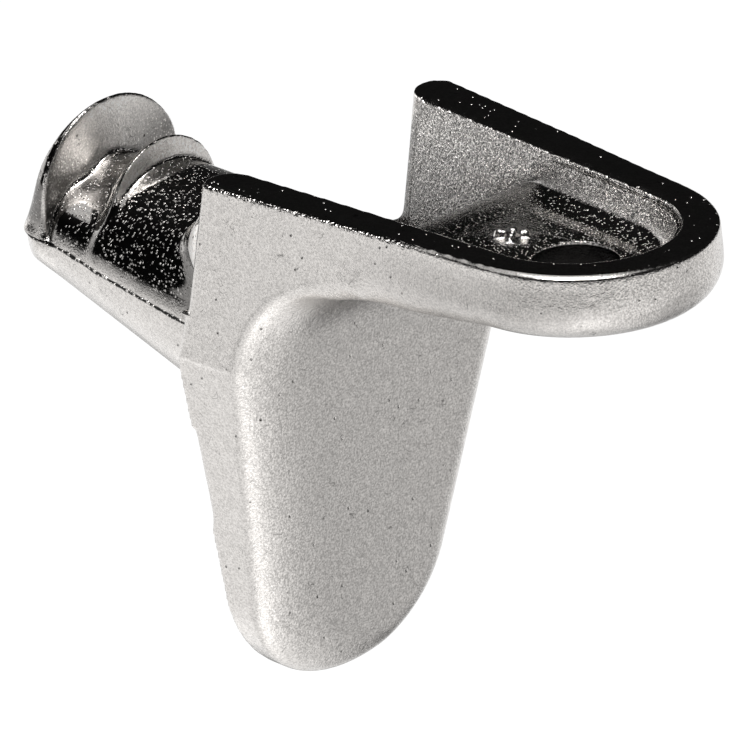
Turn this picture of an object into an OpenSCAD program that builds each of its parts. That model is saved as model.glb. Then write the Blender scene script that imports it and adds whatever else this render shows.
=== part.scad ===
// Shelf support: one zinc die casting. A barbed peg goes into a drilled hole in the cabinet side,
// a tongue bears on the cabinet side below the hole, and a horseshoe tray carries the shelf.
// X = 0 is the cabinet side, +X points into the cabinet, Z = 0 is the height of the peg at the wall.

/* [Tray] */
// Reach of the tray from the cabinet side to its nose
tray_reach = 12.9; // [11:0.1:16]
// Height of the shelf rest above the peg
rest_height = 4.7; // [4.2:0.1:5.6]
// Depth of the tray, from the shelf rest to its underside
tray_depth = 1.9; // [1.55:0.05:2.3]
// Half width of the tray at the cabinet side, at the shelf rest
tray_half_width = 4.55; // [4:0.05:5.5]
// Outer radius of the tray's nose at the shelf rest
nose_r = 3.6; // [3.2:0.05:4]
// Width of the rim round the nose
nose_rim = 0.95; // [0.7:0.05:1.3]
// Width of each leg's rim at the cabinet side
leg_rim = 1.25; // [0.9:0.05:1.6]
// Rounding of the tray's lower edge
tray_edge = 0.95; // [0.4:0.05:1.2]

/* [Hollow] */
// Depth of the tray's floor below the shelf rest
floor_depth = 1; // [0.7:0.05:1.1]
// Height of the rear pocket's bottom above the peg's centre
pocket_height = 1.2; // [0.8:0.05:1.6]
// Distance from the cabinet side at which the floor starts to drop into the rear pocket
drop_start = 5.4; // [5:0.1:6.5]
// Radius of the shoulder over which the floor drops
shoulder_r = 2.4; // [1.8:0.1:2.6]
// Diameter of the screw hole in the floor
screw_hole_d = 2.2; // [1.8:0.1:2.6]

/* [Tongue] */
// Depth of the tongue's end below the peg's centre
tongue_drop = 9.75; // [8:0.05:12]
// Radius of the tongue's end at the cabinet side
tongue_end_r = 3.4; // [2.8:0.1:3.9]
// Thickness of the tongue at its end
tongue_end_thickness = 1.2; // [0.9:0.05:1.8]
// Lean of the tongue's front face, in degrees
tongue_lean = 7.5; // [4:0.5:10]
// Rounding of the tongue's front edges
tongue_edge = 0.8; // [0.4:0.05:1]
// Radius of the hollow corner between the tongue and the tray
corner_r = 3.2; // [2.4:0.1:3.8]

/* [Peg] */
// Diameter of the drilled hole that the peg is made for
hole_d = 5; // [4.6:0.1:5.4]
// Length of the peg from the cabinet side to its tip
peg_length = 8.4; // [7.8:0.1:9.6]
// Rise of the peg's lower half towards the tip, in degrees
peg_rise = 17.5; // [10:0.5:20]
// Distance from the cabinet side to the outer barb's face
outer_barb_x = 7.2; // [6.8:0.1:7.4]
// Distance from the cabinet side to the inner barb's face
inner_barb_x = 5.3; // [4.8:0.1:5.6]
// Height of the shank's back above the peg's centre
shank_top = 2.3; // [2:0.05:2.5]

/* [Hidden] */
$fn = 96;
far = 40;                                    // longer than anything in the model
draft = 4.5;                                 // taper that lets the casting leave its die
inner_draft = 9;                             // taper of the hollow's walls
nose_x = tray_reach - nose_r;                // centre of the nose
underside = rest_height - tray_depth;        // height of the tray's underside
floor_z = rest_height - floor_depth;         // height of the tray's floor
corner = min(corner_r, underside + 0.4);     // hollow corner's radius, ending near the peg's level
parting_half = tray_half_width + rest_height * tan(draft);  // half width where the die parts
hollow_r = nose_r - nose_rim;                // radius of the hollow's round end at the shelf rest
hollow_half = tray_half_width - leg_rim;     // half width of the hollow at the cabinet side
tongue_foot_x = tongue_end_thickness + tongue_drop * tan(tongue_lean);  // tongue's front at Z = 0
tongue_draft = 5;                            // taper of the tongue's flanks away from the wall
front_half = parting_half - tongue_foot_x * tan(tongue_draft);  // half width of the tongue's front
leg_end_r = leg_rim / 2;                     // round end of each leg, seen from above
shank_r = hole_d / 2 - 0.1;                  // the shank leaves a little room in the hole
shank_z = shank_top - shank_r;               // centre of the upper shank
lower_z = -1.3;                              // centre of the lower half of the peg at the cabinet side
seam_rise = 9;                               // rise of the seam along the peg's side
seam_z = -0.8;                               // height of the seam at the cabinet side
peg_root = 0.05;                              // how far the peg runs into the casting
tip_r = 1.75;                                // radius of the peg's flat end
barb_z = 1.05;                               // centre of both barbs, above the peg's root
inner_barb_r = 1.92;                         // radius of the inner barb
inner_barb_lead = 0.95;                      // radius at the foot of the inner barb's lead-in
barb_slope = 57;                             // lead-in angle of the outer barb
flare_length = 1.8;                          // length of the flare at the peg's root
flare_r = 2.8;                               // radius of the flare at the cabinet side
ramp_foot = 1.95;                            // height of the ramp's foot behind the outer barb

// Half of a rounded section: a flank that starts at r and spreads by lean, down to a rounded edge
module half_section(r, depth, edge, lean, inner) {
    centre_d = depth - edge;
    centre_r = r + (centre_d * sin(lean) - edge) / cos(lean);
    polygon([[inner, 0], [r, 0], [centre_r + edge * cos(lean), centre_d - edge * sin(lean)],
             [centre_r, depth], [inner, depth]]);
    translate([centre_r, centre_d]) circle(r = edge);
}

// A slab with one round end: its flanks run tangent to the round end and spread towards x = 0
module round_ended_slab(end_x, end_r, half_w, depth, edge, lean) {
    spread = acos(end_r / norm([half_w, end_x])) - atan2(end_x, half_w);
    translate([end_x, 0, 0]) {
        rotate([0, 0, spread - 90])
            rotate_extrude(angle = 180 - 2 * spread) half_section(end_r, depth, edge, lean, 0);
        for (side = [0, 1])
            mirror([0, side, 0]) rotate([0, 0, 90 - spread])
                translate([0, end_x + end_r, 0]) rotate([90, 0, 0])
                    linear_extrude(end_x + end_r) half_section(end_r, depth, edge, lean, -2);
    }
}

// Everything on the cabinet's inner side of the wall face
module room_side(height = far) {
    translate([0, -far / 2, -far / 2]) cube([far, far, far / 2 + height]);
}

// Horseshoe tray before it is hollowed
module tray_block() {
    translate([0, 0, rest_height]) mirror([0, 0, 1])
        round_ended_slab(nose_x, nose_r, tray_half_width, tray_depth, tray_edge, draft);
}

// Upper part of the plate against the wall, between the tongue and the shelf rest
module plate_block() {
    intersection() {
        translate([0, 0, rest_height]) mirror([0, 0, 1])
            round_ended_slab(nose_x, nose_r, tray_half_width, rest_height + 0.01, 0.01, draft);
        corner_block();
    }
}

// Solid behind the hollow corner: a concave quarter round with rounded long edges
module corner_block() {
    centre_x = tongue_foot_x + corner;
    centre_z = underside - corner;
    intersection() {
        translate([centre_x, 0, centre_z]) rotate([90, 0, 0]) rotate([0, 0, 90])
            rotate_extrude(angle = 90)
                for (side = [0, 1]) mirror([0, side])
                    translate([corner + far / 2, 0]) rotate([0, 0, 90])
                        half_section(front_half + far / 2 * tan(tongue_draft), far / 2,
                                     tongue_edge, -tongue_draft, -1);
        translate([0, -far / 2, 0]) cube([centre_x, far, rest_height]);
    }
    if (centre_z > 0.01)
        linear_extrude(centre_z)
            translate([0, tongue_edge - front_half])
                square([tongue_foot_x, 2 * (front_half - tongue_edge)]);
}

// Tongue below the peg, rounded at its end and leaning back towards the wall
module tongue_block() {
    depth = far / 4;
    end_widening = (depth - tongue_end_thickness) * tan(tongue_draft);
    foot_widening = (depth - tongue_foot_x) * tan(tongue_draft);
    end_x = tongue_drop / cos(tongue_lean) + tongue_end_thickness * tan(tongue_lean) - tongue_end_r;
    intersection() {
        translate([tongue_foot_x, 0, 0]) rotate([0, tongue_lean, 0]) translate([-depth, 0, 0])
            rotate([0, 90, 0])
                round_ended_slab(end_x, tongue_end_r + end_widening, parting_half + foot_widening,
                                 depth, tongue_edge, -tongue_draft);
        translate([0, -far / 2, 0.02 - far]) cube(far);
    }
}

// Hollow of the tray, with the deeper pocket that opens at the wall. Its walls lean inwards on
// the way down
module hollow() {
    intersection() {
        translate([0, 0, rest_height]) mirror([0, 0, 1])
            round_ended_slab(nose_x, hollow_r, hollow_half, rest_height, 0.01, -inner_draft);
        hollow_side_view();
    }
}

// The hollow seen from the side: the floor drops over a round shoulder into the rear pocket
module hollow_side_view() {
    shoulder_z = floor_z - shoulder_r;
    foot = [drop_start - shoulder_r * sin(60), shoulder_z + shoulder_r * cos(60)];
    foot_x = foot.x - (foot.y - pocket_height) / tan(60);
    rotate([90, 0, 0]) linear_extrude(far, center = true) difference() {
        polygon([[-far, pocket_height], [foot_x, pocket_height], foot, [drop_start, floor_z],
                 [far, floor_z], [far, far], [-far, far]]);
        translate([drop_start, shoulder_z]) circle(r = shoulder_r);
    }
}

// Rounds the corners at the back end of each leg, seen from above, down to the rear pocket
module leg_end_cut() {
    for (side = [0, 1]) mirror([0, side, 0]) intersection() {
        union() {
            translate([0, tray_half_width, rest_height]) rotate([draft, 0, 0]) corner_cut();
            translate([0, hollow_half, rest_height]) rotate([-inner_draft, 0, 0])
                mirror([0, 1, 0]) corner_cut();
        }
        translate([-far / 2, 0, pocket_height]) cube(far);
    }
}

// Waste outside an upright round corner whose faces are x = 0 and y = 0
module corner_cut() {
    r = leg_end_r * 0.99;
    linear_extrude(far, center = true) difference() {
        translate([-1, -leg_end_r]) square([1 + leg_end_r, 1 + leg_end_r]);
        translate([r, -r]) circle(r = leg_end_r);
        translate([r, -2 * leg_end_r]) square([leg_end_r, 3 * leg_end_r]);
    }
}

// Round bar along the peg: from x0 to x1 (both measured from the wall, outwards), radii r0 to r1
module peg_bar(x0, x1, z, r0, r1) {
    translate([-x0, 0, z]) rotate([0, -90, 0]) cylinder(h = x1 - x0, r1 = r0, r2 = r1);
}

// Half space below the seam of the peg, moved up by lap
module below_seam(lap = 0) {
    translate([0, 0, seam_z + lap]) rotate([0, seam_rise, 0])
        translate([-far / 2, -far / 2, -far]) cube(far);
}

// Upper half of the peg: shank, inner barb with its lead-in, and outer barb with its lead-in
module peg_upper() {
    lead = peg_length - outer_barb_x;
    ramp_r = ramp_foot - shank_z;
    difference() {
        union() {
            peg_bar(-peg_root, inner_barb_x, shank_z, shank_r, shank_r);
            peg_bar(inner_barb_x - 0.5, outer_barb_x + 0.1, shank_z, ramp_r, ramp_r);
            peg_bar(inner_barb_x, outer_barb_x, barb_z, inner_barb_r, inner_barb_lead);
            intersection() {
                peg_bar(outer_barb_x, peg_length, barb_z, hole_d / 2, hole_d / 2);
                peg_bar(outer_barb_x, peg_length, 0.1, tip_r + lead * tan(barb_slope), tip_r);
            }
        }
        below_seam();
    }
}

// Lower half of the peg: a smooth round bar that rises towards the tip, with a chamfered end
module peg_lower() {
    intersection() {
        translate([0, 0, lower_z]) rotate([0, peg_rise, 0]) translate([far / 4, 0, 0])
            rotate([0, -90, 0]) cylinder(h = far, r = hole_d / 2);
        below_seam(0.02);
        peg_bar(-peg_root, peg_length, -0.1, tip_r + (peg_length + peg_root) * tan(32), tip_r);
    }
}

// Flare at the root of the peg, a little below the top of the shank
module peg_flare() {
    intersection() {
        peg_bar(-peg_root, flare_length, shank_z, flare_r, shank_r);
        translate([-far / 2, -far / 2, shank_top - 0.8 - far]) cube(far);
    }
}

module shelf_support() {
    color("silver") difference() {
        union() {
            difference() {
                intersection() {
                    union() {
                        tray_block();
                        plate_block();
                        tongue_block();
                    }
                    room_side(rest_height);
                }
                hollow();
                leg_end_cut();
            }
            peg_upper();
            peg_lower();
            peg_flare();
        }
        translate([nose_x, 0, underside - 1]) cylinder(d = screw_hole_d, h = tray_depth + 2);
    }
}

shelf_support();
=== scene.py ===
from math import radians

import bpy
import numpy as np
from mathutils import Matrix, Vector


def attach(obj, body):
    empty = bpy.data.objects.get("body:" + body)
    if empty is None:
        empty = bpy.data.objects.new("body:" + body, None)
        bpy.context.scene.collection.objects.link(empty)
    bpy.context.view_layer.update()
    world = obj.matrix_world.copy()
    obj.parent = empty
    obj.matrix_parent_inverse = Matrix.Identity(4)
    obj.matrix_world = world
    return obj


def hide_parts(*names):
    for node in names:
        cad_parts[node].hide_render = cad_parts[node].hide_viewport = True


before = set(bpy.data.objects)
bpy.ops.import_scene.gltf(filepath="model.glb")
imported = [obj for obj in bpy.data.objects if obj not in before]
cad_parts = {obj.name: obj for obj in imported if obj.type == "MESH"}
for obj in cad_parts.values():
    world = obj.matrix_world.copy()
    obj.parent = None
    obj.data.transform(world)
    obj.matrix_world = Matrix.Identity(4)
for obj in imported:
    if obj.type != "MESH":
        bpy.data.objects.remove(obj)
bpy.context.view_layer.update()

# The camera stands in front of the cabinet side, round towards -Y and a little above the shelf
# rest, and it leans a touch clockwise. It is far off, so the casting's lines hardly converge.
AIM = Vector((0.002076, 0, -0.001426))
ROUND, TILT, ROLL = radians(45.771), radians(67.297), radians(-1.438)
DISTANCE, FOCAL_LENGTH, SENSOR = 0.669, 1289.5, 36
turned = Matrix.Rotation(ROUND, 4, "Z") @ Matrix.Rotation(TILT, 4, "X")
bpy.ops.object.camera_add()
camera = bpy.context.object
camera.name = "camera"
camera.data.lens = FOCAL_LENGTH
camera.data.sensor_width = SENSOR
camera.matrix_world = (Matrix.Translation(AIM) @ turned @ Matrix.Translation((0, 0, DISTANCE))
                       @ Matrix.Rotation(ROLL, 4, "Z"))
bpy.context.scene.camera = camera

# The casting: one zinc die casting with a bright nickel plate over its slightly grainy skin. It
# starts as a copy of the built solid, in millimetres, and gets the soft edges of a casting.
MM = 1000                  # millimetres in a metre
WELD, VOXEL = 0.002, 0.05
MOST_FACES = 190000
INSIDE_BOX = 0.9999        # keeps the casting within the built solid's box
bpy.ops.object.select_all(action="DESELECT")
built = bpy.data.objects["shelf_support"]
built.select_set(True)
bpy.context.view_layer.objects.active = built
bpy.ops.object.duplicate()
casting = bpy.context.object
casting.name = "casting"
casting.data.materials.clear()
casting.data.transform(Matrix.Scale(MM, 4))
bpy.ops.object.mode_set(mode="EDIT")
bpy.ops.mesh.select_all(action="SELECT")
bpy.ops.mesh.remove_doubles(threshold=WELD)
bpy.ops.object.mode_set(mode="OBJECT")


def lump(centre, radius, tail=None, tail_radius=0):
    """A round lump of metal run onto the casting, or with a tail a tapered one."""
    bpy.ops.object.select_all(action="DESELECT")
    if tail is None:
        bpy.ops.mesh.primitive_ico_sphere_add(subdivisions=3, radius=radius, location=centre)
    else:
        run = Vector(tail) - Vector(centre)
        bpy.ops.mesh.primitive_cone_add(vertices=48, radius1=radius, radius2=tail_radius,
                                        depth=run.length, location=Vector(centre) + run / 2,
                                        rotation=run.to_track_quat("Z", "Y").to_euler())
    casting.select_set(True)
    bpy.context.view_layer.objects.active = casting
    bpy.ops.object.join()


# the flares at the peg's root, whose ends sink into the shank, and the nodules on the tray's floor
lump((0.4, -2.5, 2.3), 1.65, (-2.6, -1.3, 1.2), 0.5)
lump((0.4, 2.4, 0.3), 1.2, (-2.6, 1.9, 0.1), 0.4)
NODULES = ((6.9, -0.25, 3.78, 0.16), (7.15, -0.05, 3.8, 0.19), (7.35, 0.2, 3.76, 0.14),
           (6.95, 0.22, 3.74, 0.13), (7.3, -0.3, 3.72, 0.12), (6.75, 0.0, 3.7, 0.1))
for x, y, z, radius in NODULES:
    lump((x, y, z), radius)

cast_skin = casting.modifiers.new("cast skin", "REMESH")
cast_skin.mode = "VOXEL"
cast_skin.voxel_size = VOXEL
cast_skin.use_smooth_shade = True
bpy.ops.object.modifier_apply(modifier="cast skin")


def points():
    """The casting's points, in millimetres."""
    place = np.empty(len(casting.data.vertices) * 3, dtype=np.float32)
    casting.data.vertices.foreach_get("co", place)
    return place.reshape(-1, 3).astype(float)


def move(x, y, z):
    """Put the casting's points in new places."""
    casting.data.vertices.foreach_set("co", np.stack([x, y, z], 1).astype(np.float32).ravel())
    casting.data.update()


def ramp(value, start, end):
    """0 before start, 1 after end."""
    return np.clip((value - start) / (end - start), 0, 1)


def ease(name, turns, where=None):
    """Smooth the casting, all over or with a weight for each point."""
    smooth = casting.modifiers.new(name, "SMOOTH")
    smooth.factor = 0.5
    smooth.iterations = turns
    if where is not None:
        group = casting.vertex_groups.new(name=name)
        weight = where(*points().T)
        for step in range(1, 11):
            chosen = np.nonzero(np.ceil(weight * 10) == step)[0]
            group.add(chosen.tolist(), step / 10, "REPLACE")
        smooth.vertex_group = name
    bpy.ops.object.modifier_apply(modifier=name)


# One round edge runs up the tongue, round the hollow corner and along under the tray. It is
# fuller on the side where the die was worn.
x, y, z = points().T
TRAY_TAPER, DRAFT = radians(5.72), radians(4.5)
NOSE_X, NOSE_R, REST = 9.3, 3.6, 4.7
CORNER_X, CORNER_Z, CORNER_R = 5.684, -0.4, 3.2
NEAR_DEEP, NEAR_WIDE, FAR_DEEP, FAR_WIDE = 0.55, 1.5, 0.8, 0.9


def round_edge(front, side, deep, wide):
    """New depths behind the front and inside the flank, for points outside a round edge."""
    a, b = 1 - front / deep, 1 - side / wide
    proud = (a > 0) & (b > 0) & (np.hypot(a, b) > 1)
    shrink = np.where(proud, 1 / np.maximum(np.hypot(a, b), 1e-6), 1)
    return (np.where(proud, deep * (1 - a * shrink), front),
            np.where(proud, wide * (1 - b * shrink), side))


in_line = x - NOSE_X < np.abs(y) * np.tan(TRAY_TAPER)
flank = NOSE_R + (REST - z) * np.tan(DRAFT) - np.where(
    in_line, np.abs(y) * np.cos(TRAY_TAPER) + (x - NOSE_X) * np.sin(TRAY_TAPER),
    np.hypot(x - NOSE_X, y))
ahead = np.maximum(CORNER_X - x, 0)
reach = np.hypot(ahead, z - CORNER_Z)
low = ramp(ahead, 0, CORNER_R)
ahead_of = ramp(x, 6.0, 9.5)
deep = np.where(y < 0, NEAR_DEEP + 0.2 * low, FAR_DEEP)
wide = np.where(y < 0, NEAR_WIDE + 0.6 * low, FAR_WIDE) - 0.5 * ahead_of * (y < 0)
front, side = round_edge(reach - CORNER_R, flank, deep, wide)
sector = (z > -0.02) & (x > 0.05) & (reach > CORNER_R - 0.3)
scale = np.where(sector, (front + CORNER_R) / np.maximum(reach, 1e-6), 1)
go_side = np.where(sector, side - flank, 0)
from_nose = np.maximum(np.hypot(x - NOSE_X, y), 1e-6)
out_x = np.where(in_line, np.sin(TRAY_TAPER), (x - NOSE_X) / from_nose)
out_y = np.where(in_line, np.sign(y) * np.cos(TRAY_TAPER), y / from_nose)
x = np.where(x < CORNER_X, CORNER_X - ahead * scale, x) - go_side * out_x
y = y - go_side * out_y
z = CORNER_Z + (z - CORNER_Z) * scale

# The hollow corner's top hangs lower, and so does the tray's underside ahead of it.
TRAY_SAG, CORNER_SAG = 0.25, 0.12
sag = TRAY_SAG + CORNER_SAG * (1 - ramp(x, 4.6, 6.4))
sag = sag * ramp(x, 2.4, 4.6) * (1 - ramp(x, 6.6, 9.4))
sag = sag * (1 - ramp(z, 2.9, 3.6)) * ramp(z, 0.6, 1.6)
z = z - sag

# The same round edge on the tongue, measured square to its leaning front.
LEAN = radians(7.5)
TONGUE_FOOT, TONGUE_END, END_R = 2.484, 6.592, 3.295
SPREAD, SIDE_DRAFT = radians(11.4), radians(5)
TONGUE_DEEP, TONGUE_WIDE = 0.8, 0.9
down = -z * np.cos(LEAN) - (x - TONGUE_FOOT) * np.sin(LEAN)
front = -((x - TONGUE_FOOT) * np.cos(LEAN) - z * np.sin(LEAN))
below = down - TONGUE_END
on_line = below < np.abs(y) * np.tan(SPREAD)
side = np.where(on_line, END_R - (np.abs(y) * np.cos(SPREAD) + below * np.sin(SPREAD)),
                END_R - np.hypot(below, y)) + front * np.tan(SIDE_DRAFT)
worn = ramp(-y, -1.2, 1.8)
new_front, new_side = round_edge(front, side, TONGUE_DEEP - 0.05 * worn, TONGUE_WIDE + 1.2 * worn)
sector = (z < -0.02) & (front > -0.3) & (front < 2.4) & (x > 0.05)
go_in = np.where(sector, new_front - front, 0)
go_side = np.where(sector, new_side - side, 0)
from_end = np.maximum(np.hypot(below, y), 1e-6)
out_y = np.where(on_line, np.sign(y) * np.cos(SPREAD), y / from_end)
out_down = np.where(on_line, np.sin(SPREAD), below / from_end)
x = x - go_in * np.cos(LEAN) + go_side * out_down * np.sin(LEAN)
z = z + go_in * np.sin(LEAN) + go_side * out_down * np.cos(LEAN)
y = y - go_side * out_y

# The back edges of the legs are round above the peg and sharpen downwards.
LEG_EDGE = 0.45
leg_edge = np.maximum(LEG_EDGE * ramp(z, -2.0, 1.0), 1e-3)
flank = (NOSE_R + (REST - z) * np.tan(DRAFT) - np.abs(y) * np.cos(TRAY_TAPER)
         - (x - NOSE_X) * np.sin(TRAY_TAPER))
new_x, new_side = round_edge(x, flank, leg_edge, leg_edge)
edge = (x > -0.02) & (x < 0.5) & (z < 1.15) & (z > -2.0)
x = np.where(edge, new_x, x)
y = np.where(edge, y - np.sign(y) * (new_side - flank), y)

# The near leg's end leans forward towards its top.
LEG_LEAN = 0.5
x = x + (LEG_LEAN * ramp(z, 0.0, REST) * ramp(-y, 1.2, 3.0) * ramp(x, -0.6, 0.0)
         * (1 - ramp(x, 0.0, 3.5)))

# The floor curves up into the walls, so that the tray is a bowl.
BOWL, FLOOR_TOP, FULLNESS = 0.95, 3.7, 0.85
HOLLOW_TAPER, HOLLOW_HALF, HOLLOW_SKIN, HOLLOW_R = radians(3.95), 2.65, 0.16, 2.49
wall = np.where(x < NOSE_X,
                (HOLLOW_HALF - HOLLOW_SKIN - (x - NOSE_X) * np.sin(HOLLOW_TAPER))
                / np.cos(HOLLOW_TAPER) - np.abs(y),
                HOLLOW_R - np.hypot(x - NOSE_X, y))
near_wall = (x > 5.0) & (z > 3.4) & (z < 4.4) & (wall > -0.12) & (wall < BOWL)
rise = np.sqrt(np.maximum(BOWL ** 2 - (BOWL - np.clip(wall, 0, BOWL)) ** 2, 0))
bottom = FLOOR_TOP + BOWL - rise
bottom = FLOOR_TOP + (bottom - FLOOR_TOP) * FULLNESS
z = np.where(near_wall & (z < bottom), z + (bottom - z) * ramp(x, 5.0, 6.2), z)

# The peg is a lower half, the bar, and an upper half, the shank with its barbs. The shank's flanks
# run down to the seam as full as the bar.
SEAM_DROP, SEAM_SLOPE = 0.8, 0.158
BAR_DROP, BAR_SLOPE, BAR_R = 1.3, 0.3153, 2.5
SHANK_R, SHANK_DROP = 2.4, 0.1
OUTER_BARB, INNER_BARB = -7.25, -4.9
seam = -SEAM_DROP - SEAM_SLOPE * x
bar_z = -BAR_DROP - BAR_SLOPE * x
bar_y = np.sqrt(np.maximum(BAR_R ** 2 - (seam - bar_z) ** 2, 0)) - 0.02
up = z - seam
shank_y = np.sqrt(np.maximum(SHANK_R ** 2 - (z + SHANK_DROP) ** 2, 0))
between = (x > OUTER_BARB) & (x < INNER_BARB) & (up > 0) & (z < 1.8) & (np.abs(y) > 1.0)
fill = (1 - ramp(z, 1.0, 1.7)) * ramp(x, OUTER_BARB, -6.95) * (1 - ramp(x, -5.9, INNER_BARB))
y = np.where(between, np.sign(y) * (np.abs(y) + (shank_y - np.abs(y)) * fill), y)
full = np.sqrt(np.maximum(bar_y ** 2 - np.clip(up, 0, None) ** 2 * 1.1, 0))
share = (1 - ramp(up, 0.5, 1.7)) * ramp(x, OUTER_BARB, -7.0)
upper = (x < 0.03) & (x > OUTER_BARB) & (up > -0.05) & (up < 1.8) & (np.abs(y) > 1.0)
y = np.where(upper, np.sign(y) * (np.abs(y) + np.maximum(full - np.abs(y), 0) * share), y)
tip = (x < -7.0) & (up < 0.05) & (up > -1.4)
y = y * (1 - 0.14 * ramp(-x, -OUTER_BARB, 8.3) * ramp(up, 0.0, 0.9))
y = np.where(tip, y * (1 + 0.12 * ramp(-x, 7.0, 7.6) * (1 - ramp(-up, 0.1, 1.3))), y)
move(x, y, z)


def above_seam(x, z):
    """How far a point lies above the seam along the peg, which rises towards the tip."""
    return z + SEAM_DROP + SEAM_SLOPE * x


# Each blend of the casting is eased by itself, so that the rim and the barbs stay crisp.
NODULES_X, NODULES_R = 7.1, 0.65
HALF_THICK = 0.45          # half the metal's thickness round the hollow corner
ease("all edges", 6)
ease("rim edges", 8, lambda x, y, z: ramp(z, 4.4, 4.5)
     * (np.where(x < NOSE_X,
                 (NOSE_R - (x - NOSE_X) * np.sin(TRAY_TAPER)) / np.cos(TRAY_TAPER) - np.abs(y),
                 NOSE_R - np.hypot(x - NOSE_X, y)) < 0.3))
ease("corner", 60, lambda x, y, z: ramp(x, 1.6, 2.2) * ramp(-x, -7.4, -6.4) * ramp(z, -1.6, -0.6)
     * ramp(-z, -4.1, -3.5) * (np.hypot(x - CORNER_X, z - CORNER_Z) < CORNER_R + HALF_THICK)
     * (z < 3.9))
ease("pocket", 40, lambda x, y, z: ramp(x, 1.2, 2.0) * (1 - ramp(x, 5.6, 6.2))
     * ramp(4.3 - z, 0, 0.5) * ramp(z, 1.0, 1.4) * (np.abs(y) < 3.3)
     * (np.hypot(x - CORNER_X, z - CORNER_Z) > CORNER_R + HALF_THICK))
ease("bowl", 40, lambda x, y, z: ramp(x, 4.5, 5.5) * ramp(4.5 - z, 0, 0.2) * ramp(z, 3.4, 3.6)
     * (np.hypot(np.maximum(x - NOSE_X, 0), y) < 3.0) * ramp(np.hypot(x - NOSE_X, y), 1.3, 1.5)
     * (np.hypot(x - NODULES_X, y) > 0.7))
ease("peg root", 160, lambda x, y, z: ramp(x, -3.2, -2.4) * ramp(0.3 - x, 0, 0.2)
     * ramp(z, -5, -4.5) * ramp(3.9 - z, 0, 0.5) * (x < 0.3) * (np.abs(y) < 4.4))
ease("near flare", 150, lambda x, y, z:
     (1 - ramp(np.hypot(np.hypot(x + 1.6, y + 2.4), z - 1.8), 1.7, 2.5))
     * ramp(-0.1 - x, 0, 0.4) * ramp(-y, 0.3, 1.0))
ease("tray corner", 60, lambda x, y, z:
     1 - ramp(np.hypot(np.hypot(x - 5.8, y + 4.1), z - 2.65), 0.6, 1.3))
ease("peg flanks", 60, lambda x, y, z: ramp(-x, 0.5, 1.5) * ramp(above_seam(x, z), -0.2, 0.1)
     * (1 - ramp(above_seam(x, z), 1.2, 1.8)) * ramp(np.abs(y), 0.8, 1.3))
ease("barb feet", 50, lambda x, y, z: ramp(-x, 3.6, 4.0) * (1 - ramp(-x, 7.4, 7.6))
     * (np.hypot(y, z + SHANK_DROP) < 2.25) * ramp(z, 0.6, 1.0))
ease("peg tip", 60, lambda x, y, z: ramp(-x, 7.2, 7.5) * (1 - ramp(z, 1.0, 1.8)))

# Between the barbs the shank draws in to a waist, and swells again to the outer barb's foot.
WAIST = 0.24
x, y, z = points().T
spread = np.hypot(y, z + SHANK_DROP)
waist = WAIST * (1 - (1 - np.clip((x + 7.2) / 1.4, 0, 1)) ** 2) * (1 - ramp(x, -5.8, -5.45))
waist = waist * ramp(z, -0.3, 1.9) * (1 - ramp(spread, 2.7, 3.1)) / np.maximum(spread, 1)
move(x, y * (1 - waist), z - (z + SHANK_DROP) * waist)
ease("waist", 30, lambda x, y, z: ramp(-x, 5.0, 5.4) * (1 - ramp(-x, 7.3, 7.5)) * ramp(z, 0.0, 0.6))
ease("nose edge", 24, lambda x, y, z: ramp(x, 5.5, 8.0) * ramp(z, 4.2, 4.4)
     * (np.hypot(np.maximum(x - NOSE_X, 0), y) > 3.3))
thin = casting.modifiers.new("fewer faces", "DECIMATE")
thin.ratio = min(1, MOST_FACES / sum(len(face.vertices) - 2 for face in casting.data.polygons))
bpy.ops.object.modifier_apply(modifier="fewer faces")

# How the skin is from place to place: beads on the peg's upper half and in the bowl, coarse pebbles
# on the hollow's walls, a glassy rim with a burr at its edge, matt faces on the barbs, grainier
# faces in front, and a bore made dark by painted shade. "skin" is a painted dark reflection on the
# peg's upper flanks and painted shade low on the outer barb's face, "root" is a painted highlight,
# a pale patch at the peg's root, and the painted shade zone takes the nose and the hollow's floor
# and back end down.
HOLLOW_WALL, HOLLOW_END = 3.25, 2.6
x, y, z = points().T
lean = np.empty(len(x) * 3, dtype=np.float32)
casting.data.vertices.foreach_get("normal", lean)
lean = lean.reshape(-1, 3)
up = above_seam(x, z)
wall = np.where(x < NOSE_X, HOLLOW_WALL - x * np.sin(HOLLOW_TAPER) - np.abs(y),
                HOLLOW_END - np.hypot(x - NOSE_X, y))
under = np.where(x < CORNER_X,
                 np.hypot(x - CORNER_X, z - CORNER_Z) < CORNER_R + HALF_THICK, z < 3.2)
inside = (wall > -0.03) & (z > 1.0) & (z < 4.64) & (x > -0.1) & ~under
facing_up = ramp(lean[:, 2], 0.15, 0.6)
rim_edge = ((NOSE_R + (REST - z) * 0.08 - (x - NOSE_X) * np.sin(TRAY_TAPER)) / np.cos(TRAY_TAPER)
            - np.abs(y))
rim_edge = np.where(x < NOSE_X, rim_edge, NOSE_R - np.hypot(x - NOSE_X, y))
# the screw hole's bore, which is painted nearly black as painted shade inside the hole
bore = (np.hypot(x - NOSE_X, y) < 1.16) & (z < 3.64) & (z > 2.7)
off_nodules = np.hypot(x - NODULES_X, y) > NODULES_R
# root: where a painted highlight goes, a pale patch at the peg's root in place of the light its
# fillet catches
root = (1 - ramp(np.hypot(np.hypot(x + 1.0, y + 3.3), z - 1.8), 0.8, 1.8)) * (x < -0.05)
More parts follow.
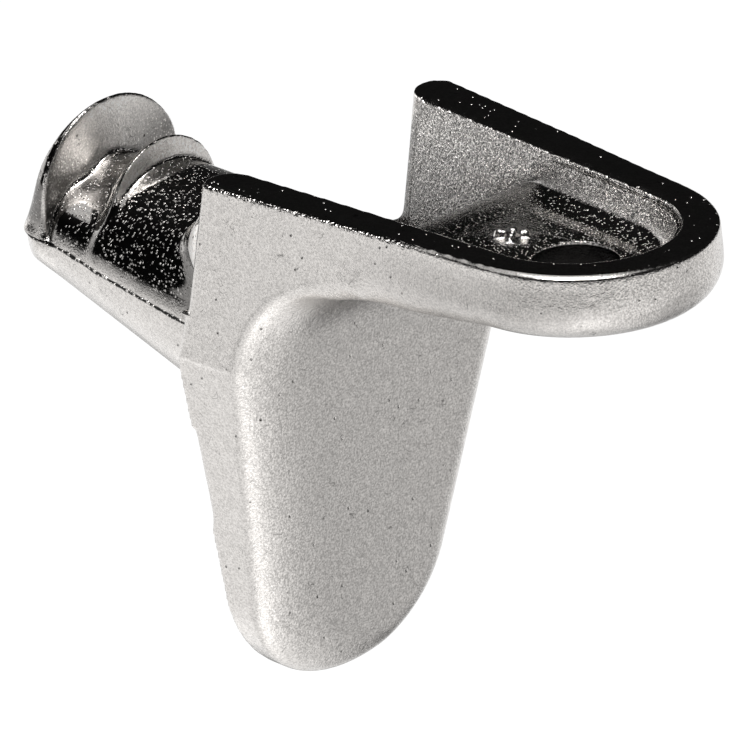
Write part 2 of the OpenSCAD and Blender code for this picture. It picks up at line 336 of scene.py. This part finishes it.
zones = {
    "beads": np.maximum(ramp(-x, 0, 0.2) * ramp(up, 0.15, 0.6)
                        * np.maximum(1 - ramp(lean[:, 0], 0.5, 0.85), 1 - ramp(z, 0.8, 1.3)),
                        inside * facing_up * ~bore * ramp(x, 4.4, 6.6) * off_nodules),
    "coarse": inside * np.maximum(1 - ramp(lean[:, 2], 0.4, 0.8), 1 - ramp(x, 4.0, 5.2)) * ~bore
              * off_nodules,
    "rim": ramp(z, 4.6, 4.67),
    "burr": ramp(z, 4.5, 4.6) * (1 - ramp(rim_edge, 0.03, 0.09)) * (1 - ramp(x, 6.5, 8.0)),
    "matt": ramp(-x, 0.5, 1.0) * ramp(lean[:, 0], 0.8, 0.95),
    "front": ramp(lean[:, 0], 0.75, 0.95) * (x > 0),
    "bore": bore * 1.0,
    # skin: a painted dark reflection on the peg's upper flanks, and painted shade low on the outer
    # barb's face
    "skin": np.maximum(ramp(-x, 0.0, 0.4) * ramp(up, 0.0, 0.5) * (1 - ramp(lean[:, 2], 0.55, 0.8))
                       * np.maximum(1 - ramp(lean[:, 0], 0.3, 0.7), 1 - ramp(z, 0.8, 1.3)),
                       (x < -6.5) * ramp(lean[:, 0], 0.8, 0.95)
                       * (1 - ramp(z - 0.51 * np.abs(y), 1.2, 2.8))),
    "root": root,
    # painted shade: a darker reflection painted on the nose, and shade painted on the hollow's
    # floor and low on its back end
    "painted_shade": np.maximum((0.45 + 0.25 * (1 - ramp(z, 2.8, 3.6))) * ramp(x, 5.0, 8.0)
                       * (np.hypot(np.maximum(x - NOSE_X, 0), y) > 3.2) * (1 - ramp(z, 4.2, 4.5))
                       * (1 - ramp(lean[:, 0], 0.6, 0.9)),
                       inside * np.maximum((1 - ramp(z, 1.2, 3.8)) * (x < 4) * 1.3,
                                           0.9 * facing_up * ramp(x, 3.4, 4.6)
                                           * (1 - ramp(x, 6.2, 8.0)))),
}
for name, value in zones.items():
    layer = casting.data.attributes.new(name, "FLOAT", "POINT")
    layer.data.foreach_set("value", np.ascontiguousarray(value, dtype=np.float32))
casting.data.transform(Matrix.Scale(INSIDE_BOX / MM, 4))
bpy.ops.object.shade_smooth()

# The plating is bright nickel, and the cast skin shows through it as grain, beads, pebbles and
# pits. All patterns are laid out in millimetres.
NICKEL = (0.66, 0.636, 0.612)
plate = bpy.data.materials.new("nickel plate on cast zinc")
plate.use_nodes = True
nodes, links = plate.node_tree.nodes, plate.node_tree.links
shader = nodes["Principled BSDF"]
shader.inputs["Metallic"].default_value = 1
place = nodes.new("ShaderNodeTexCoord")
in_mm = nodes.new("ShaderNodeMapping")
in_mm.inputs["Scale"].default_value = (MM, MM, MM)
links.new(place.outputs["Object"], in_mm.inputs["Vector"])
axes = nodes.new("ShaderNodeSeparateXYZ")
links.new(in_mm.outputs[0], axes.inputs[0])


def maths(operation, a, b=0.0, c=0.0):
    """One Math node; a, b and c are sockets or numbers."""
    node = nodes.new("ShaderNodeMath")
    node.operation = operation
    for socket, value in zip(node.inputs, (a, b, c)):
        if isinstance(value, (int, float)):
            socket.default_value = value
        else:
            links.new(value, socket)
    return node.outputs[0]


def noise(scale, detail, rough=0.5):
    """Soft random clouds; a larger scale makes them finer."""
    node = nodes.new("ShaderNodeTexNoise")
    node.inputs["Scale"].default_value = scale
    node.inputs["Detail"].default_value = detail
    node.inputs["Roughness"].default_value = rough
    links.new(in_mm.outputs[0], node.inputs["Vector"])
    return node.outputs["Fac"]


def cells(scale):
    """Scattered spots: the distance from the nearest one, and its random draws."""
    node = nodes.new("ShaderNodeTexVoronoi")
    node.inputs["Scale"].default_value = scale
    links.new(in_mm.outputs[0], node.inputs["Vector"])
    lot = nodes.new("ShaderNodeSeparateColor")
    links.new(node.outputs["Color"], lot.inputs[0])
    return node.outputs["Distance"], lot.outputs


def mask(value, low, high, to_low=0.0, to_high=1.0):
    """A soft step, from to_low at low to to_high at high."""
    node = nodes.new("ShaderNodeMapRange")
    node.interpolation_type = "SMOOTHSTEP"
    node.inputs["From Min"].default_value = low
    node.inputs["From Max"].default_value = high
    node.inputs["To Min"].default_value = to_low
    node.inputs["To Max"].default_value = to_high
    links.new(value, node.inputs["Value"])
    return node.outputs["Result"]


def painted(name):
    """A zone that was painted on the points."""
    node = nodes.new("ShaderNodeAttribute")
    node.attribute_name = name
    return node.outputs["Fac"]


def raised(height, pattern, where, by):
    """The height with a pattern on it in a zone, by so many millimetres."""
    return maths("MULTIPLY_ADD", maths("MULTIPLY", pattern, where), by, height)


def changed(value, where, by):
    """A value that is raised or lowered in a zone, by a share of itself."""
    return maths("MULTIPLY", value, maths("MULTIPLY_ADD", where, by, 1.0))


# the bumps of the skin
grain = noise(18, 2, 0.7)
calm = maths("SUBTRACT", 1.0, maths("MAXIMUM", painted("rim"), painted("beads")))
height = maths("MULTIPLY", maths("MULTIPLY", grain, calm), 0.013)
height = raised(height, noise(0.9, 1), calm, by=0.025)
patches = maths("MULTIPLY", noise(5, 2, 0.5), mask(noise(0.55, 1), 0.4, 0.62))
height = raised(height, patches, calm, by=0.018)
gap, lot = cells(12)
bead = maths("MULTIPLY", mask(gap, 0.4, 0.0), mask(lot[0], 0.2, 0.6))
height = raised(height, bead, painted("beads"), by=0.03)
gap = cells(7)[0]
dots = mask(gap, 0.5, 0.25)
pebble = maths("MULTIPLY_ADD", mask(gap, 0.6, 0.0), 0.15, noise(13, 3, 0.7))
height = raised(height, pebble, painted("coarse"), by=0.15)
height = raised(height, noise(10, 1), painted("burr"), by=0.08)
gap, lot = cells(6)
speck = maths("MULTIPLY", mask(gap, 0.3, 0.0), mask(lot[0], 0.8, 0.9))
height = raised(height, speck, painted("rim"), by=0.04)
gap, lot = cells(2.6)
pit = maths("MULTIPLY", mask(gap, 0.13, 0.02), mask(lot[1], 0.5, 0.8))
height = raised(height, pit, calm, by=-0.03)

# the seam along the peg, where a little flash was left
level = maths("ADD", axes.outputs[2], SEAM_DROP)
off_seam = maths("ABSOLUTE", maths("MULTIPLY_ADD", axes.outputs[0], SEAM_SLOPE, level))
wander = maths("MULTIPLY_ADD", noise(3, 2), 0.1, -0.05)
off_seam = maths("ABSOLUTE", maths("ADD", off_seam, wander))
flash = maths("MULTIPLY", mask(off_seam, 0.06, 0.025), mask(axes.outputs[0], 0.1, -0.1))
height = raised(height, flash, dots, by=0.14)
flash = maths("MULTIPLY", flash, maths("SUBTRACT", 1.0, dots))
bump = nodes.new("ShaderNodeBump")
bump.inputs["Strength"].default_value = 1
bump.inputs["Distance"].default_value = 1 / MM
links.new(height, bump.inputs["Height"])
links.new(bump.outputs["Normal"], shader.inputs["Normal"])

# how bright the plate is: grain and broad clouds, then pits and flash, the painted zones with their
# painted shade, painted highlight and painted dark reflection, a few scratches and the bore's
# painted shade
tone = mask(grain, 0.3, 0.7, 0.78, 1.18)
bite = maths("MULTIPLY_ADD", painted("coarse"), 3.0,
             maths("MULTIPLY_ADD", painted("front"), 0.7, 1.0))
tone = maths("POWER", tone, bite)
tone = changed(tone, painted("coarse"), by=-0.25)
tone = maths("MULTIPLY", tone, mask(noise(4, 3, 0.6), 0.3, 0.7, 0.97, 1.03))
tone = changed(tone, pit, by=-0.75)
tone = changed(tone, flash, by=-0.97)
# the barbs' faces are made 42% lighter
tone = changed(tone, painted("matt"), by=0.42)
# painted shade halves the tone on the nose and in the hollow's floor and back end
tone = changed(tone, painted("painted_shade"), by=-0.5)
# a painted highlight: a pale patch with a ragged edge at the peg's root, also made rougher
painted_highlight = mask(maths("MULTIPLY_ADD", noise(3.5, 3, 0.6), 1.8, painted("root")), 1.25, 1.5)
painted_highlight = maths("MULTIPLY", painted_highlight, mask(painted("root"), 0.02, 0.15))
# dark: the painted dark reflection and painted shade of the skin zone, kept off the beads and the
# pale patch, plus dark beads inside the pale patch
dark = maths("MULTIPLY", painted("skin"), maths("SUBTRACT", 1.0, bead))
dark = maths("MULTIPLY", dark, maths("SUBTRACT", 1.0, painted_highlight))
dark = maths("MAXIMUM", dark, maths("MULTIPLY", mask(bead, 0.2, 0.5), painted_highlight))
# the painted highlight makes the plate half as bright again, and the painted dark reflection takes
# 70% off
tone = changed(tone, painted_highlight, by=0.5)
tone = changed(tone, dark, by=-0.7)
scratch = nodes.new("ShaderNodeTexVoronoi")
scratch.feature = "DISTANCE_TO_EDGE"
scratch.inputs["Scale"].default_value = 2.2
warped = nodes.new("ShaderNodeVectorMath")
warped.operation = "MULTIPLY_ADD"
swirl = nodes.new("ShaderNodeTexNoise")
swirl.inputs["Scale"].default_value = 1.5
links.new(in_mm.outputs[0], swirl.inputs["Vector"])
links.new(swirl.outputs["Color"], warped.inputs[0])
warped.inputs[1].default_value = (1.2, 1.2, 1.2)
links.new(in_mm.outputs[0], warped.inputs[2])
links.new(warped.outputs[0], scratch.inputs["Vector"])
scratched = maths("MULTIPLY", mask(scratch.outputs["Distance"], 0.02, 0.008),
                  mask(noise(2.3, 1), 0.62, 0.68))
tone = changed(tone, scratched, by=-0.6)
# painted shade inside the screw hole's bore, nearly black
tone = changed(tone, painted("bore"), by=-0.985)
colour = nodes.new("ShaderNodeVectorMath")
colour.operation = "SCALE"
colour.inputs[0].default_value = NICKEL
links.new(tone, colour.inputs["Scale"])
links.new(colour.outputs[0], shader.inputs["Base Color"])
glossy = maths("MAXIMUM", maths("MAXIMUM", painted("rim"), painted("beads")), painted("coarse"))
rough = maths("MULTIPLY_ADD", glossy, -0.12, mask(noise(5, 2), 0.3, 0.7, 0.17, 0.23))
rough = maths("MULTIPLY_ADD", painted("matt"), 0.2, rough)
rough = maths("MULTIPLY_ADD", painted_highlight, 0.42, rough)
links.new(rough, shader.inputs["Roughness"])
casting.data.materials.append(plate)
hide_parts("shelf_support")
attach(casting, "root")

# The floor lies well below the support, which hangs from its wall. It is plain and pale, and it
# shows white to the camera and in the metal.
FLOOR_Z, FLOOR_SIZE, PAPER = -0.15, 6, (0.8, 0.8, 0.8, 1)
bpy.ops.object.select_all(action="DESELECT")
bpy.ops.mesh.primitive_plane_add(size=FLOOR_SIZE, location=(0, 0, FLOOR_Z))
floor = bpy.context.object
floor.name = "floor"
paper = bpy.data.materials.new("pale floor")
paper.use_nodes = True
tree = paper.node_tree
tree.nodes.clear()
out = tree.nodes.new("ShaderNodeOutputMaterial")
matt = tree.nodes.new("ShaderNodeBsdfDiffuse")
matt.inputs["Color"].default_value = PAPER
glow = tree.nodes.new("ShaderNodeEmission")
glow.inputs["Color"].default_value = (1, 1, 1, 1)
ray = tree.nodes.new("ShaderNodeLightPath")
seen = tree.nodes.new("ShaderNodeMath")
seen.operation = "ADD"
tree.links.new(ray.outputs["Is Camera Ray"], seen.inputs[0])
tree.links.new(ray.outputs["Is Glossy Ray"], seen.inputs[1])
seen_all = tree.nodes.new("ShaderNodeMath")
seen_all.operation = "ADD"
seen_all.use_clamp = True
tree.links.new(seen.outputs[0], seen_all.inputs[0])
tree.links.new(ray.outputs["Is Transmission Ray"], seen_all.inputs[1])
tree.links.new(seen_all.outputs[0], glow.inputs["Strength"])
both = tree.nodes.new("ShaderNodeAddShader")
tree.links.new(matt.outputs[0], both.inputs[0])
tree.links.new(glow.outputs[0], both.inputs[1])
tree.links.new(both.outputs[0], out.inputs["Surface"])
floor.data.materials.append(paper)

# The light is a soft box overhead in a dim room. Twelve small cards stand round the support, show
# only in the metal and fade out towards their edges. Seven are brighter than the floor (four below,
# one behind the peg, one at the near side, one as a ceiling), and five are darker, to take the
# floor's white down in places.
BOX_PLACE, BOX_SIZE, BOX_POWER, ROOM_LEVEL = (-0.1, 0.0, 0.5), 0.5, 0.5, 0.008
bpy.ops.object.light_add(type="AREA", location=BOX_PLACE)
box = bpy.context.object
box.name = "overhead box"
box.data.size = BOX_SIZE
box.data.energy = BOX_POWER
box.rotation_euler = (Vector((0, 0, 0)) - box.location).to_track_quat("-Z", "Y").to_euler()


def card(name, direction, distance, size, level, fade):
    """A card that faces the support from a direction; fade is the part of it that fades out."""
    towards = Vector(direction).normalized()
    bpy.ops.mesh.primitive_plane_add(size=1, location=towards * distance)
    piece = bpy.context.object
    piece.name = name
    piece.scale = (size[0], size[1], 1)
    piece.rotation_euler = towards.to_track_quat("Z", "Y").to_euler()
    paint = bpy.data.materials.new(name)
    paint.use_nodes = True
    tree = paint.node_tree
    tree.nodes.clear()
    out = tree.nodes.new("ShaderNodeOutputMaterial")
    glow = tree.nodes.new("ShaderNodeEmission")
    glow.inputs["Strength"].default_value = level
    clear = tree.nodes.new("ShaderNodeBsdfTransparent")
    where = tree.nodes.new("ShaderNodeTexCoord")
    middle = tree.nodes.new("ShaderNodeVectorMath")
    middle.operation = "LENGTH"
    edge = tree.nodes.new("ShaderNodeMapRange")
    edge.interpolation_type = "SMOOTHSTEP"
    edge.inputs["From Min"].default_value = 0.5
    edge.inputs["From Max"].default_value = 0.5 * (1 - fade)
    mix = tree.nodes.new("ShaderNodeMixShader")
    tree.links.new(where.outputs["Object"], middle.inputs[0])
    tree.links.new(middle.outputs["Value"], edge.inputs["Value"])
    tree.links.new(edge.outputs["Result"], mix.inputs["Fac"])
    tree.links.new(clear.outputs[0], mix.inputs[1])
    tree.links.new(glow.outputs[0], mix.inputs[2])
    tree.links.new(mix.outputs[0], out.inputs["Surface"])
    piece.data.materials.append(paint)
    piece.visible_camera = False
    piece.visible_diffuse = False
    piece.visible_shadow = False


card("bounce card", (0.72, -0.4, -0.56), 0.1, (0.06, 0.06), 1.3, 0.85)
card("under card", (0.42, -0.28, -0.86), 0.1, (0.07, 0.07), 2.3, 0.85)
card("foot card", (0.05, -0.12, -0.99), 0.1, (0.055, 0.055), 1.8, 0.85)
card("nose card", (-0.2, -0.87, -0.46), 0.1, (0.07, 0.055), 0.45, 0.8)
card("arc card", (-0.64, -0.08, -0.76), 0.1, (0.055, 0.05), 1.6, 0.85)
card("shade card", (-0.62, 0.5, -0.6), 0.1, (0.07, 0.05), 0.25, 0.8)
card("grey card", (0.52, 0.64, -0.6), 0.1, (0.16, 0.14), 0.6, 0.7)
card("dark card", (-0.05, 0.64, -0.74), 0.085, (0.07, 0.06), 0.1, 0.9)
card("left card", (-0.97, -0.12, 0.08), 0.12, (0.11, 0.06), 2.2, 0.5)
card("near card", (-0.28, -0.94, 0.15), 0.12, (0.06, 0.05), 1.8, 0.5)
card("back flag", (-0.76, 0.64, -0.06), 0.1, (0.09, 0.05), 0.1, 0.7)
card("bright ceiling", (0.1, -0.05, 1.0), 0.4, (0.2, 0.6), 10.0, 0.7)
world = bpy.data.worlds.new("room")
bpy.context.scene.world = world
world.use_nodes = True
world.node_tree.nodes["Background"].inputs["Color"].default_value = (1, 1, 1, 1)
world.node_tree.nodes["Background"].inputs["Strength"].default_value = ROOM_LEVEL

bpy.context.scene.view_settings.view_transform = "Standard"
